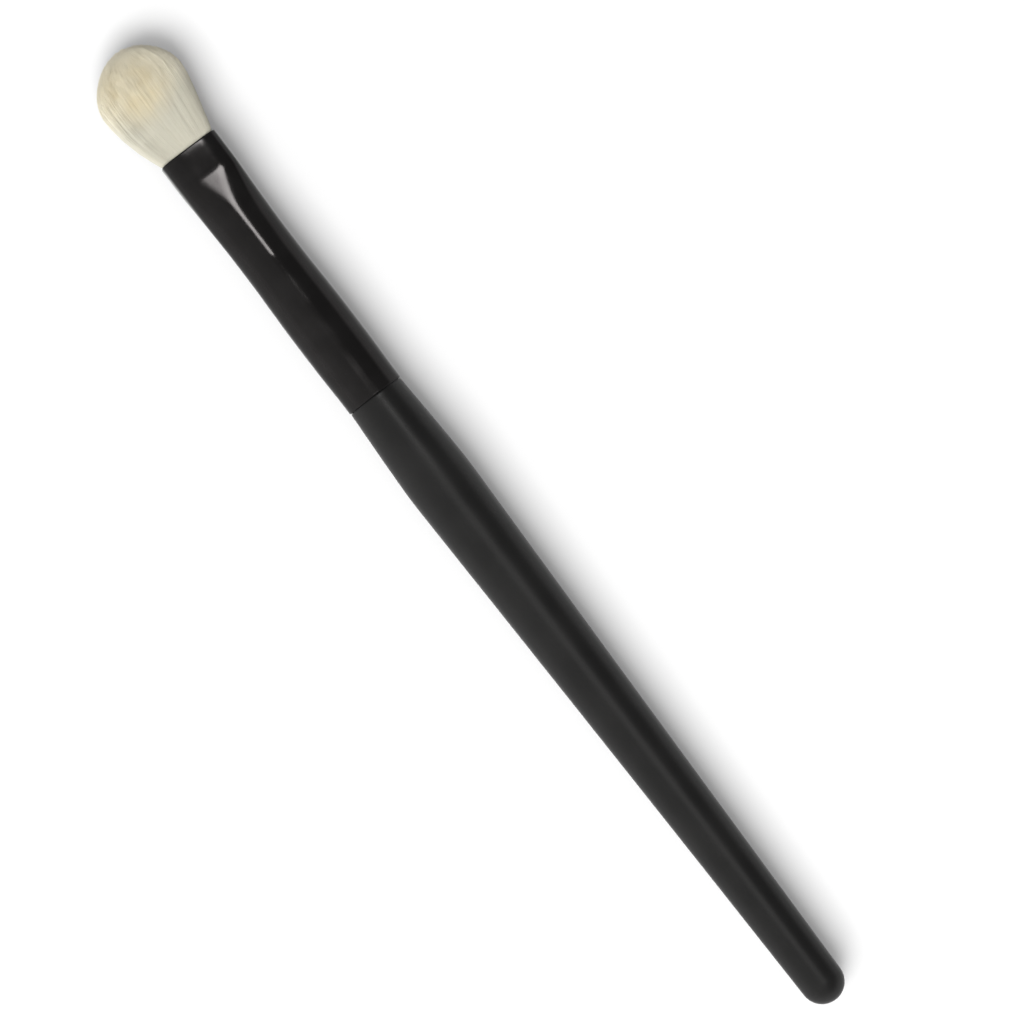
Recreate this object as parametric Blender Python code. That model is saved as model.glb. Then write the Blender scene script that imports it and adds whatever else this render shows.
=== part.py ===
"""Makeup blending brush: a hair tuft, an oval-mouthed ferrule and a turned handle.

Metres, +Z up. The brush lies along X with its hair towards -X, as it rests on a table.
The origin is on the table, under the middle of its length. Inside, the hair's root end is
bound with thread and locked by resin, and the handle's tenon is glued into the ferrule.
"""

import math
import random

import bmesh
import bpy
from mathutils import Vector

# Fits and facets
FIT_GAP = 0.0003          # left between neighbouring pieces
WELD_DISTANCE = 0.000001  # points nearer than this become one
ROUND_SIDES = 32          # around the ferrule and the handle, few enough to rest on one face
SOFT_SIDES = 32           # around the pieces set inside the ferrule

# Handle, measured from its shoulder towards the butt
HANDLE_LENGTH = 0.1084
SHOULDER_RADIUS = 0.00444
SHOULDER_ROUND = 0.0002
BELLY_RADIUS = 0.00504
BELLY_START = 0.0141
BELLY_LAND = 0.0020
BUTT_RADIUS = 0.00326
TAPER_BOW_SHARE = 0.15    # how much steeper the taper starts than it ends
SWELL_BOW_SHARE = 0.27    # the same for the swell from shoulder to belly
SWELL_STEPS = 5           # rings along the swell, the taper and the round butt
TAPER_STEPS = 11
BUTT_STEPS = 7

# Tenon, the stem of the handle inside the ferrule
TENON_LENGTH = 0.0140
TENON_CHAMFER = 0.0006
GROOVE_WIDTH = 0.0016
GROOVE_DEPTH = 0.0009
GROOVE_PLACE_SHARES = {"front": 0.68, "rear": 0.30}  # of the tenon, from the shoulder

# Ferrule, measured from its mouth towards the handle
FERRULE_LENGTH = 0.0443
FERRULE_WALL = 0.00035
MOUTH_WIDTH = 0.00939
MOUTH_THICKNESS = 0.0064
MOUTH_FULLNESS = 4.0      # 2 is an ellipse, more is squarer
MOUTH_BAND = 0.0046       # length of even oval section
LIP_LENGTH = 0.0013       # where the flats are drawn in at the mouth
LIP_DRAW = 0.00008
FLAT_FADE = 0.0045        # length over which the flats run out behind the band
SIDE_FUNNEL = 0.0110      # length over which the sides come in to the round tube
FLAT_FUNNEL = 0.0150      # length over which the flats rise to it
WAIST_RADIUS = 0.00442
WAIST_END = 0.0215
BULGE_RADIUS = 0.00461
BULGE_START = 0.0295
BULGE_END = 0.0360
REAR_RADIUS = 0.00450
REAR_LAND = 0.0013        # even length at the handle end
CURVE_STEPS = 4           # rings along each of its curves

# Hair tuft, measured from the ferrule's mouth towards the tip
TUFT_LENGTH = 0.0170
TUFT_WIDTH = 0.0140
TUFT_THICKNESS = 0.0090
TUFT_WIDEST = 0.01045     # from the mouth to the widest section
TUFT_FULLNESS = 2.1
FLARE_POWER = 1.5         # how early the hair spreads once it is out of the ferrule
DOME_POWER = 1.8          # 2 is an elliptical dome, less is more pointed
RIM_REACH_SHARE = 0.973   # how near the outermost strands come to the even outline
TIP_UNEVENNESS = 0.0003   # how far a strand may end short of the dome
STRAND_COUNT = 300
STRAND_SIDES = 3
STRAND_FILL_SHARE = 0.42  # a strand's half width, of the mean spacing
STRAND_RING_SHARES = ((0.0, 1.0), (0.45, 1.06), (0.88, 0.85))  # along the strand, and width
CORE_SHARE = 0.6          # strands nearer the middle than this skip the second ring
STRAND_SEED = 7

# Root of the tuft, set back inside the ferrule
ROOT_SETBACK = 0.0015
ROOT_LENGTH = 0.0080
ROOT_RIM = 0.0001         # left between the outer strands and the edge of the root
ROOT_OVERLAP = 0.0006     # how deep the strands go into the root
BINDING_SETBACK = 0.0024  # from the root's front face to the tied waist
WAIST_RAMP = 0.0005       # the slope at each end of the tied waist
THREAD_DIAMETER = 0.0004
THREAD_PITCH = 0.0009
THREAD_TURNS = 4
THREAD_POINTS = 24        # in one turn
THREAD_SIDE_STEPS = 1     # rounds the thread to six sides

# Resin behind the root
RESIN_LENGTH = 0.0036
MENISCUS_DEPTH = 0.0008
MENISCUS_SHARES = (0.85, 0.6, 0.3)  # the dish's rings, of the way out from its middle

# Everything stands on these
SHOULDER_PLACE = FERRULE_LENGTH + FIT_GAP
OVERALL_LENGTH = TUFT_LENGTH + SHOULDER_PLACE + HANDLE_LENGTH
AXIS_HEIGHT = BELLY_RADIUS * math.cos(math.pi / ROUND_SIDES)


def blend(start, end, share):
    return start + (end - start) * share


def within(share):
    """Keep a share between 0 and 1."""
    return min(max(share, 0.0), 1.0)


def smooth(share):
    """Ease in and out between 0 and 1."""
    share = within(share)
    return share * share * (3.0 - 2.0 * share)


def bowed(share, bow):
    """Run from 0 to 1, steeper at the start by the given bow."""
    return (1.0 + bow) * share - bow * share * share


def even_shares(steps):
    """Shares from 0 to 1 in even steps."""
    return [step / steps for step in range(steps + 1)]


# Materials

def make_material(name, colour, roughness, metallic=0.0, coat=0.0):
    material = bpy.data.materials.new(name)
    material.use_nodes = True
    shader = material.node_tree.nodes["Principled BSDF"]
    shader.inputs["Base Color"].default_value = (*colour, 1.0)
    shader.inputs["Roughness"].default_value = roughness
    shader.inputs["Metallic"].default_value = metallic
    shader.inputs["Coat Weight"].default_value = coat
    material.diffuse_color = (*colour, 1.0)
    return material


# Building blocks

def oval_point(x, section, angle, share=1.0):
    """A point of an oval section, at a share of the way out from its middle."""
    half_width, half_thickness, fullness = section
    across, up = math.cos(angle), math.sin(angle)
    reach = share * (abs(across) ** fullness + abs(up) ** fullness) ** (-1.0 / fullness)
    return Vector((x, half_width * reach * across, half_thickness * reach * up))


def inset(section, distance):
    """The same oval, smaller all round."""
    half_width, half_thickness, fullness = section
    return (half_width - distance, half_thickness - distance, fullness)


def ring_angles(sides):
    """Angles of a ring's points, with one facet level at the underside."""
    return [2.0 * math.pi * (index + 0.5) / sides - math.pi / 2.0 for index in range(sides)]


def add_ring(mesh, x, section, sides):
    points = [mesh.verts.new(oval_point(x, section, angle)) for angle in ring_angles(sides)]
    return [mesh.edges.new((points[index - 1], points[index])) for index in range(sides)]


def loft(mesh, rings, sides, closed):
    """Skin a row of (place, section) rings, into a closed hoop or with capped ends."""
    loops = [add_ring(mesh, x, section, sides) for x, section in rings]
    pairs = list(zip(loops, loops[1:]))
    if closed:
        pairs.append((loops[-1], loops[0]))
    for near, far in pairs:
        bmesh.ops.bridge_loops(mesh, edges=near + far)
    if not closed:
        for loop in (loops[0], loops[-1]):
            bmesh.ops.contextual_create(mesh, geom=loop)


def turn(mesh, profile, closed=False):
    """Turn a row of (place, radius) points about the X axis."""
    angle = ring_angles(ROUND_SIDES)[0]
    points = [
        mesh.verts.new((x, radius * math.cos(angle), radius * math.sin(angle)))
        for x, radius in profile
    ]
    pairs = list(zip(points, points[1:]))
    if closed:
        pairs.append((points[-1], points[0]))
    edges = [mesh.edges.new(pair) for pair in pairs]
    bmesh.ops.spin(
        mesh,
        geom=points + edges,
        cent=(0.0, 0.0, 0.0),
        axis=(1.0, 0.0, 0.0),
        angle=2.0 * math.pi,
        steps=ROUND_SIDES,
        use_merge=True,
    )


def finish_object(mesh, name, material, parent, place):
    """Weld and turn the faces outwards, then hang the piece on the brush's axis."""
    bmesh.ops.remove_doubles(mesh, verts=mesh.verts, dist=WELD_DISTANCE)
    bmesh.ops.recalc_face_normals(mesh, faces=mesh.faces)
    data = bpy.data.meshes.new(name)
    mesh.to_mesh(data)
    mesh.free()
    data.shade_smooth()
    data.set_sharp_from_angle(angle=math.radians(35.0))
    data.materials.append(material)
    piece = bpy.data.objects.new(name, data)
    bpy.context.scene.collection.objects.link(piece)
    piece.parent = parent
    piece.location = (place, 0.0, 0.0)
    return piece


def hide_guide(piece):
    piece.hide_render = True
    piece.display_type = "WIRE"


# Ferrule

def ferrule_section(x):
    """The ferrule's outer oval at a place behind its mouth."""
    past_band = x - MOUTH_BAND
    if past_band < FLAT_FUNNEL:
        drawn_in = LIP_DRAW * within(1.0 - x / LIP_LENGTH)
        return (
            blend(MOUTH_WIDTH / 2.0, WAIST_RADIUS, within(past_band / SIDE_FUNNEL)),
            blend(MOUTH_THICKNESS / 2.0 - drawn_in, WAIST_RADIUS, within(past_band / FLAT_FUNNEL)),
            blend(MOUTH_FULLNESS, 2.0, smooth(past_band / FLAT_FADE)),
        )
    if x < BULGE_END:
        rise = smooth((x - WAIST_END) / (BULGE_START - WAIST_END))
        radius = blend(WAIST_RADIUS, BULGE_RADIUS, rise)
    else:
        fall = smooth((x - BULGE_END) / (FERRULE_LENGTH - REAR_LAND - BULGE_END))
        radius = blend(BULGE_RADIUS, REAR_RADIUS, fall)
    return (radius, radius, 2.0)


def bore_section(x):
    return inset(ferrule_section(x), FERRULE_WALL)


def ferrule_places():
    """Where the ferrule needs rings: each change of form, and steps along the curves."""
    edge = FERRULE_WALL / 2.0
    shares = even_shares(CURVE_STEPS)
    places = [edge, LIP_LENGTH]
    places += [MOUTH_BAND + FLAT_FADE * share for share in shares]
    places += [MOUTH_BAND + SIDE_FUNNEL, MOUTH_BAND + FLAT_FUNNEL]
    places += [blend(WAIST_END, BULGE_START, share) for share in shares]
    places += [blend(BULGE_END, FERRULE_LENGTH - REAR_LAND, share) for share in shares]
    return places + [FERRULE_LENGTH - edge]


def make_ferrule(parent):
    """One tube wall as a hoop of rings: out along the outside and back along the bore."""
    places = ferrule_places()
    edge = FERRULE_WALL / 2.0
    turned_in = edge * (1.0 - math.cos(math.pi / 4.0))
    rings = [(x, ferrule_section(x)) for x in places]
    rings += [
        (FERRULE_LENGTH - turned_in, inset(ferrule_section(FERRULE_LENGTH), turned_in)),
        (FERRULE_LENGTH, inset(ferrule_section(FERRULE_LENGTH), edge)),
    ]
    rings += [(x, bore_section(x)) for x in reversed(places)]
    rings += [
        (turned_in, inset(ferrule_section(0.0), FERRULE_WALL - turned_in)),
        (0.0, inset(ferrule_section(0.0), edge)),
        (turned_in, inset(ferrule_section(0.0), turned_in)),
    ]
    mesh = bmesh.new()
    loft(mesh, rings, ROUND_SIDES, closed=True)
    lacquer = make_material("ferrule_lacquer", (0.012, 0.010, 0.010), 0.12, 0.3, 1.0)
    finish_object(mesh, "ferrule", lacquer, parent, 0.0)


# Handle

def tenon_radius():
    """The tenon fits the ferrule's bore where that is narrowest."""
    return REAR_RADIUS - FERRULE_WALL - FIT_GAP


def groove_middle(name):
    """A glue groove's middle, measured from the shoulder."""
    return -TENON_LENGTH * GROOVE_PLACE_SHARES[name]


def tenon_profile():
    """From the middle of the tenon's end back to the shoulder's foot."""
    radius = tenon_radius()
    profile = [
        (-TENON_LENGTH, 0.0),
        (-TENON_LENGTH, radius - TENON_CHAMFER),
        (-TENON_LENGTH + TENON_CHAMFER, radius),
    ]
    for name in GROOVE_PLACE_SHARES:
        near = groove_middle(name) - GROOVE_WIDTH / 2.0
        far = groove_middle(name) + GROOVE_WIDTH / 2.0
        floor = radius - GROOVE_DEPTH
        profile += [(near, radius), (near, floor), (far, floor), (far, radius)]
    return profile + [(0.0, radius)]


def body_profile():
    """From the shoulder over the belly and down the long taper to the round butt."""
    profile = [(0.0, SHOULDER_RADIUS - SHOULDER_ROUND)]
    turned_in = SHOULDER_ROUND * (1.0 - math.cos(math.pi / 4.0))
    profile.append((turned_in, SHOULDER_RADIUS - turned_in))
    for share in even_shares(SWELL_STEPS):
        place = blend(SHOULDER_ROUND, BELLY_START, share)
        radius = blend(SHOULDER_RADIUS, BELLY_RADIUS, bowed(share, SWELL_BOW_SHARE))
        profile.append((place, radius))
    taper_start = BELLY_START + BELLY_LAND
    butt_middle = HANDLE_LENGTH - BUTT_RADIUS
    for share in even_shares(TAPER_STEPS):
        radius = blend(BELLY_RADIUS, BUTT_RADIUS, bowed(share, TAPER_BOW_SHARE))
        profile.append((blend(taper_start, butt_middle, share), radius))
    for share in even_shares(BUTT_STEPS)[1:-1]:
        angle = math.pi / 2.0 * share
        profile.append((butt_middle + BUTT_RADIUS * math.sin(angle), BUTT_RADIUS * math.cos(angle)))
    return profile + [(HANDLE_LENGTH, 0.0)]


def make_handle(parent):
    mesh = bmesh.new()
    turn(mesh, tenon_profile() + body_profile())
    lacquer = make_material("handle_lacquer", (0.020, 0.020, 0.020), 0.55)
    finish_object(mesh, "handle", lacquer, parent, SHOULDER_PLACE)


def make_adhesive(name, parent, material):
    """A ring of glue that fills one groove of the tenon and meets the bore."""
    place = SHOULDER_PLACE + groove_middle(name)
    half = GROOVE_WIDTH / 2.0 - FIT_GAP
    inner = tenon_radius() - GROOVE_DEPTH + FIT_GAP
    outer = [(x, bore_section(place + x)[0] - FIT_GAP) for x in (-half, half)]
    mesh = bmesh.new()
    turn(mesh, [(-half, inner)] + outer + [(half, inner)], closed=True)
    finish_object(mesh, "tenon_adhesive_" + name, material, parent, place)


# Hair tuft

def tied_section(x, depth):
    """The root's oval at a place behind the mouth, tied in by the given depth."""
    return inset(bore_section(x), FIT_GAP + depth)


def tied_depth():
    """The waist leaves room for the thread between the root and the bore."""
    return THREAD_DIAMETER + FIT_GAP


def binding_span():
    """The tied waist's two ends, with room for the thread's full height."""
    start = ROOT_SETBACK + BINDING_SETBACK
    length = THREAD_PITCH * THREAD_TURNS + THREAD_DIAMETER + 2.0 * FIT_GAP
    return start, start + length


def make_root(parent, material):
    """The bundled root end of the hair, drawn in at a waist where it is tied."""
    start, end = binding_span()
    depth = tied_depth()
    rings = [
        (ROOT_SETBACK, tied_section(ROOT_SETBACK, 0.0)),
        (start - WAIST_RAMP, tied_section(start - WAIST_RAMP, 0.0)),
        (start, tied_section(start, depth)),
        (end, tied_section(end, depth)),
        (end + WAIST_RAMP, tied_section(end + WAIST_RAMP, 0.0)),
        (ROOT_SETBACK + ROOT_LENGTH, tied_section(ROOT_SETBACK + ROOT_LENGTH, 0.0)),
    ]
    mesh = bmesh.new()
    loft(mesh, rings, SOFT_SIDES, closed=False)
    return finish_object(mesh, "hair_tuft", material, parent, 0.0)


def hair_section(x):
    """The oval that the strands fill at a place: straight from the root, then flared."""
    inside = inset(bore_section(ROOT_SETBACK), FIT_GAP + ROOT_RIM)
    spread = 1.0 - (1.0 - within(-x / TUFT_WIDEST)) ** FLARE_POWER
    reach = 2.0 * RIM_REACH_SHARE
    widest = (TUFT_WIDTH / reach, TUFT_THICKNESS / reach, TUFT_FULLNESS)
    return tuple(blend(near, far, spread) for near, far in zip(inside, widest))


def dome_reach(share):
    """How far past the widest section a strand ends, by its share of the way out."""
    return (TUFT_LENGTH - TUFT_WIDEST) * (1.0 - share**DOME_POWER) ** (1.0 / DOME_POWER)


def add_strand(mesh, place, angle, half_share, tip):
    """One tapering strand with three sides, from inside the root to its pointed tip."""
    middle = Vector((place * math.cos(angle), place * math.sin(angle)))
    shares = STRAND_RING_SHARES
    if place < CORE_SHARE:
        shares = (STRAND_RING_SHARES[0], STRAND_RING_SHARES[-1])
    stations = [(ROOT_SETBACK + ROOT_OVERLAP, 1.0)]
    stations += [(tip * along, width) for along, width in shares]
    rings = []
    for x, width in stations:
        ring = []
        for side in range(STRAND_SIDES):
            turn_angle = angle + 2.0 * math.pi * side / STRAND_SIDES
            offset = Vector((math.cos(turn_angle), math.sin(turn_angle))) * half_share * width
            spot = middle + offset
            point = oval_point(x, hair_section(x), math.atan2(spot.y, spot.x), spot.length)
            ring.append(mesh.verts.new(point))
        rings.append(ring)
    mesh.faces.new(rings[0])
    for near, far in zip(rings, rings[1:]):
        for side in range(STRAND_SIDES):
            after = (side + 1) % STRAND_SIDES
            mesh.faces.new((near[side], near[after], far[after], far[side]))
    end = mesh.verts.new(oval_point(tip, hair_section(tip), angle, place))
    for side in range(STRAND_SIDES):
        mesh.faces.new((rings[-1][side], rings[-1][(side + 1) % STRAND_SIDES], end))


def make_strands(parent, material):
    """Evenly spread strands that fan out of the ferrule and end on a rounded dome."""
    chance = random.Random(STRAND_SEED)
    golden_angle = math.pi * (3.0 - math.sqrt(5.0))
    half_share = STRAND_FILL_SHARE * math.sqrt(math.pi / STRAND_COUNT)
    mesh = bmesh.new()
    for index in range(STRAND_COUNT):
        share = math.sqrt((index + 0.5) / STRAND_COUNT)
        place = share * (1.0 - half_share)
        shortfall = TIP_UNEVENNESS * chance.random() * share
        tip = shortfall - TUFT_WIDEST - dome_reach(place)
        add_strand(mesh, place, index * golden_angle, half_share, tip)
    return finish_object(mesh, "strands", material, parent, 0.0)


def make_tuft(parent):
    hair = make_material("natural_hair", (0.62, 0.58, 0.47), 0.6)
    root = make_root(parent, hair)
    strands = make_strands(parent, hair)
    hide_guide(strands)
    union = root.modifiers.new("strands_join_root", "BOOLEAN")
    union.operation = "UNION"
    union.solver = "EXACT"
    union.object = strands


# Binding thread

def thread_points():
    """The thread's middle line: an even helix that follows the oval of the waist."""
    start = binding_span()[0] + FIT_GAP + THREAD_DIAMETER / 2.0
    outwards = tied_depth() - FIT_GAP - THREAD_DIAMETER / 2.0
    points = []
    for index in range(THREAD_TURNS * THREAD_POINTS + 1):
        turns = index / THREAD_POINTS
        x = start + THREAD_PITCH * turns
        section = tied_section(x, outwards)
        points.append(oval_point(x, section, 2.0 * math.pi * turns))
    return points


def least_thread_gap(points):
    """The smallest clear distance between one turn of the thread and another."""
    apart = THREAD_POINTS // 2
    return min(
        (points[far] - points[near]).length - THREAD_DIAMETER
        for near in range(len(points))
        for far in range(near + apart, len(points))
    )


def make_binding(parent):
    points = thread_points()
    curve = bpy.data.curves.new("tuft_binding", "CURVE")
    curve.dimensions = "3D"
    curve.bevel_depth = THREAD_DIAMETER / 2.0
    curve.bevel_resolution = THREAD_SIDE_STEPS
    curve.use_fill_caps = True
    spline = curve.splines.new("POLY")
    spline.points.add(len(points) - 1)
    for spot, point in zip(spline.points, points):
        spot.co = (*point, 1.0)
    curve.materials.append(make_material("binding_thread", (0.55, 0.52, 0.46), 0.8))
    thread = bpy.data.objects.new("tuft_binding", curve)
    bpy.context.scene.collection.objects.link(thread)
    thread.parent = parent
    print(f"binding: least gap between turns {least_thread_gap(points) * 1000:.2f} mm")


# Resin

def make_resin(parent):
    """The cured resin behind the root, dished at the back where it wetted the wall."""
    front = ROOT_SETBACK + ROOT_LENGTH + FIT_GAP
    back = front + RESIN_LENGTH
    rings = [
        (front, tied_section(front, 0.0)),
        (blend(front, back, 0.5), tied_section(blend(front, back, 0.5), 0.0)),
        (back, tied_section(back, 0.0)),
    ]
    rim = tied_section(back, 0.0)
    for share in MENISCUS_SHARES:
        dish = (rim[0] * share, rim[1] * share, rim[2])
        rings.append((back - MENISCUS_DEPTH * (1.0 - share * share), dish))
    mesh = bmesh.new()
    loft(mesh, rings, SOFT_SIDES, closed=False)
    resin = make_material("cured_resin", (0.45, 0.30, 0.12), 0.25)
    finish_object(mesh, "resin_plug", resin, parent, 0.0)


def main():
    for leftover in list(bpy.data.objects):
        bpy.data.objects.remove(leftover)

    axis = bpy.data.objects.new("brush_axis", None)
    axis.location = (TUFT_LENGTH - OVERALL_LENGTH / 2.0, 0.0, AXIS_HEIGHT)
    bpy.context.scene.collection.objects.link(axis)

    make_tuft(axis)
    make_binding(axis)
    make_resin(axis)
    make_ferrule(axis)
    make_handle(axis)
    glue = make_material("tenon_glue", (0.60, 0.52, 0.34), 0.4)
    for name in GROOVE_PLACE_SHARES:
        make_adhesive(name, axis, glue)


main()
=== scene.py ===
import math

import bpy
import numpy as np
from mathutils import Matrix, Vector


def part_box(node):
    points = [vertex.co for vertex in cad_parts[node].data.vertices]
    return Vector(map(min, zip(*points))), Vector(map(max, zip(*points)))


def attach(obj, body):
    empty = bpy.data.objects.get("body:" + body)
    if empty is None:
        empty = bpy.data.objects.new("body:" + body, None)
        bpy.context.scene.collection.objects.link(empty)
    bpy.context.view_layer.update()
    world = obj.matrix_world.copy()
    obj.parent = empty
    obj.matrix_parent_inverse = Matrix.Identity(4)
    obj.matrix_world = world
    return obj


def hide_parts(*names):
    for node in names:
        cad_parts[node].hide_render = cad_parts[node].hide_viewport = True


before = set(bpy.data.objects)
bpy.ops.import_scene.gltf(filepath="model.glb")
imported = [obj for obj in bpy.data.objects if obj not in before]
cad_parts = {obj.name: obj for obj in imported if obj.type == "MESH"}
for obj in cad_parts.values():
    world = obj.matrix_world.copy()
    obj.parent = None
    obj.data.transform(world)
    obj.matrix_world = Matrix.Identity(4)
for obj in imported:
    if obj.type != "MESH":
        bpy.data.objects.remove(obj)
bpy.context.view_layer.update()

mm = 0.001
fitGap = 0.3 * mm   # left between pieces that are glued or tied together

# Every piece is built with x running back from the ferrule's mouth, y across the
# brush and z up from its axis, then set down at brushOrigin.
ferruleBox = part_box("ferrule")
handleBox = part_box("handle")
mouthX = ferruleBox[0].x
axisHeight = (handleBox[0].z + handleBox[1].z) / 2
brushOrigin = (mouthX, 0, axisHeight)
print(f"brush: mouth at {mouthX / mm:.1f} mm, axis {axisHeight / mm:.2f} mm above the table")


# Curves and sections

def mix(start, end, share):
    return start + (end - start) * share


def ease(share):
    share = np.clip(share, 0, 1)
    return share * share * (3 - 2 * share)


def knee(x, corner):
    # nothing below 0 and x above it, with the corner rounded off
    bend = (x + corner) ** 2 / (4 * corner)
    return np.where(x <= -corner, 0, np.where(x >= corner, x, bend))


def ramp(x, start, length, corner):
    # climbs in a straight line from 0 to 1, rounded where it starts and stops
    return (knee(x - start, corner) - knee(x - start - length, corner)) / length


def ovalPoints(x, section, angle, share=1.0):
    # points of a squared-off oval, as far out from its middle as share says
    halfWidth, halfThickness, fullness = section
    across, up = np.cos(angle), np.sin(angle)
    reach = share * (np.abs(across) ** fullness + np.abs(up) ** fullness) ** (-1 / fullness)
    parts = np.broadcast_arrays(x, halfWidth * reach * across, halfThickness * reach * up)
    return np.stack(parts, axis=-1)


def smaller(section, distance):
    halfWidth, halfThickness, fullness = section
    return halfWidth - distance, halfThickness - distance, fullness


def ringAngles(segments):
    return 2 * math.pi * (np.arange(segments) + 0.5) / segments - math.pi / 2


# Meshes

def skin(name, rings, joined=False, sharpAngle=40):
    # rings is rows x segments x 3; joined runs the last ring back to the first
    rows, segments = rings.shape[:2]
    spots = np.arange(rows * segments).reshape(rows, segments)
    nearRows = spots if joined else spots[:-1]
    farRows = np.roll(spots, -1, axis=0) if joined else spots[1:]
    corners = (nearRows, np.roll(nearRows, -1, axis=1), np.roll(farRows, -1, axis=1), farRows)
    faces = np.stack(corners, axis=-1).reshape(-1, 4).tolist()
    if not joined:
        faces += [spots[0][::-1].tolist(), spots[-1].tolist()]
    mesh = bpy.data.meshes.new(name)
    mesh.from_pydata(rings.reshape(-1, 3).tolist(), [], faces)
    mesh.shade_smooth()
    mesh.set_sharp_from_angle(angle=math.radians(sharpAngle))
    return mesh


def turned(name, outline, segments, joined=False):
    # as on a lathe, from a list of (x, radius)
    pinhead = 0.002 * mm   # in place of a point
    angles = ringAngles(segments)
    rings = []
    for x, radius in outline:
        radius = max(radius, pinhead)
        rings.append(ovalPoints(x, (radius, radius, 2.0), angles))
    return skin(name, np.array(rings), joined)


def placePiece(name, mesh, material, node):
    mesh.materials.append(material)
    piece = bpy.data.objects.new(name, mesh)
    bpy.context.scene.collection.objects.link(piece)
    piece.location = brushOrigin
    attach(piece, "root")
    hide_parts(node)
    print(f"{name}: {len(mesh.polygons)} faces")


# Materials

midNoise = (0.3, 0.7)   # where most of a noise texture lies


def newMaterial(name):
    material = bpy.data.materials.new(name)
    material.use_nodes = True
    tree = material.node_tree
    return material, tree, tree.nodes["Principled BSDF"]


def feed(tree, node, sockets):
    # a socket takes another node's output, or a plain number or colour
    for name, value in sockets.items():
        if isinstance(value, bpy.types.NodeSocket):
            tree.links.new(value, node.inputs[name])
        else:
            node.inputs[name].default_value = value


def addNode(tree, kind, sockets={}, **settings):
    node = tree.nodes.new(kind)
    for name, value in settings.items():
        setattr(node, name, value)
    feed(tree, node, sockets)
    return node


def brushSpace(tree, along=1.0):
    # object coordinates; along less than 1 draws a pattern out along the brush
    spot = addNode(tree, "ShaderNodeTexCoord").outputs["Object"]
    if along == 1.0:
        return spot
    scaled = addNode(tree, "ShaderNodeMapping", {"Vector": spot, "Scale": (along, 1, 1)})
    return scaled.outputs["Vector"]


def noise(tree, spot, scale, detail=2.0, roughness=0.5):
    sockets = {"Vector": spot, "Scale": scale, "Detail": detail, "Roughness": roughness}
    return addNode(tree, "ShaderNodeTexNoise", sockets).outputs["Fac"]


def combine(tree, operation, first, second):
    return addNode(tree, "ShaderNodeMath", {0: first, 1: second}, operation=operation).outputs[0]


def remap(tree, value, source, target=(0, 1)):
    # goes smoothly from one end of target to the other as value crosses source
    sockets = {
        "Value": value, "From Min": source[0], "From Max": source[1],
        "To Min": target[0], "To Max": target[1],
    }
    node = addNode(tree, "ShaderNodeMapRange", sockets, interpolation_type="SMOOTHSTEP")
    return node.outputs["Result"]


def mixColour(tree, share, first, second, blend="MIX"):
    first, second = (
        colour if isinstance(colour, bpy.types.NodeSocket) else (*colour, 1)
        for colour in (first, second)
    )
    sockets = {0: share, 6: first, 7: second}
    return addNode(tree, "ShaderNodeMix", sockets, data_type="RGBA", blend_type=blend).outputs[2]


def shaded(tree, pattern, shades, spread=midNoise):
    # the first shade where the pattern is low and the second where it is high
    return mixColour(tree, remap(tree, pattern, spread), *shades)


def dusted(tree, speck, colour, finish):
    # fine pale dust on the peaks of a small noise
    cover = remap(tree, speck, finish["dustSpread"], (0, finish["dustCover"]))
    return mixColour(tree, cover, colour, finish["dust"])


def addBump(tree, shader, height, strength, distance):
    sockets = {"Height": height, "Strength": strength, "Distance": distance}
    feed(tree, shader, {"Normal": addNode(tree, "ShaderNodeBump", sockets).outputs["Normal"]})


# Ferrule: a drawn tube pressed oval at the hair end, lacquered glossy black

ferrule = {
    "length": 44.3 * mm,
    "wall": 0.35 * mm,
    "mouthWidth": 9.39 * mm,
    "mouthThickness": 6.4 * mm,
    "mouthFullness": 4.0,         # 2 is an ellipse, more is squarer
    "mouthBand": 4.8 * mm,        # even oval before the tube starts to open out
    "lipLength": 1.35 * mm,
    "lipDraw": 0.045 * mm,        # how far the flats are drawn in at the lip
    "squareUntil": 5.5 * mm,      # from here the squared-off oval turns round
    "squareFade": 8.8 * mm,
    "sideFunnel": 11.0 * mm,
    "flatFunnel": 15.0 * mm,
    "flatCorner": 0.42 * mm,      # how softly the press marks turn on the flats
    "sideCorner": 1.68 * mm,      # and elsewhere
    "waistRadius": 4.42 * mm,
    "waistEnd": 21.5 * mm,
    "bulgeRadius": 4.61 * mm,
    "bulgeStart": 29.5 * mm,
    "bulgeEnd": 36.0 * mm,
    "rearRadius": 4.50 * mm,
    "rearLand": 1.3 * mm,
    "segments": 160,
    "edgeRings": 7,               # round each of its two rolled edges

    "blacks": ((0.0235, 0.0222, 0.0218), (0.0275, 0.0260, 0.0256)),   # clean and smudged
    "roughness": (0.12, 0.17),
    "smudgeScale": 260,
    "smudgeShades": (0.35, 0.70),     # where in the smudges the shade turns
    "smudgeGloss": (0.30, 0.75),      # and where the gloss does
    "lineScale": 9000,            # fine lines from drawing the tube
    "lineStretch": 0.04,
    "lineSpread": (0.60, 0.78),
    "lineHaze": 0.08,             # roughness that they add
    "dust": (0.09, 0.088, 0.086),
    "dustScale": 5200,
    "dustSpread": (0.74, 0.80),
    "dustCover": 0.35,
    "rippleScale": 1500,
    "ripple": (0.05, 0.02 * mm),  # strength and height of the ripple in the lacquer
    "metallic": 0.8,              # mirrors more than it scatters
    "specular": 0.25,
    "edgeTint": (0.6, 0.6, 0.6, 1),   # keeps the turned-away sides dark
}


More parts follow.
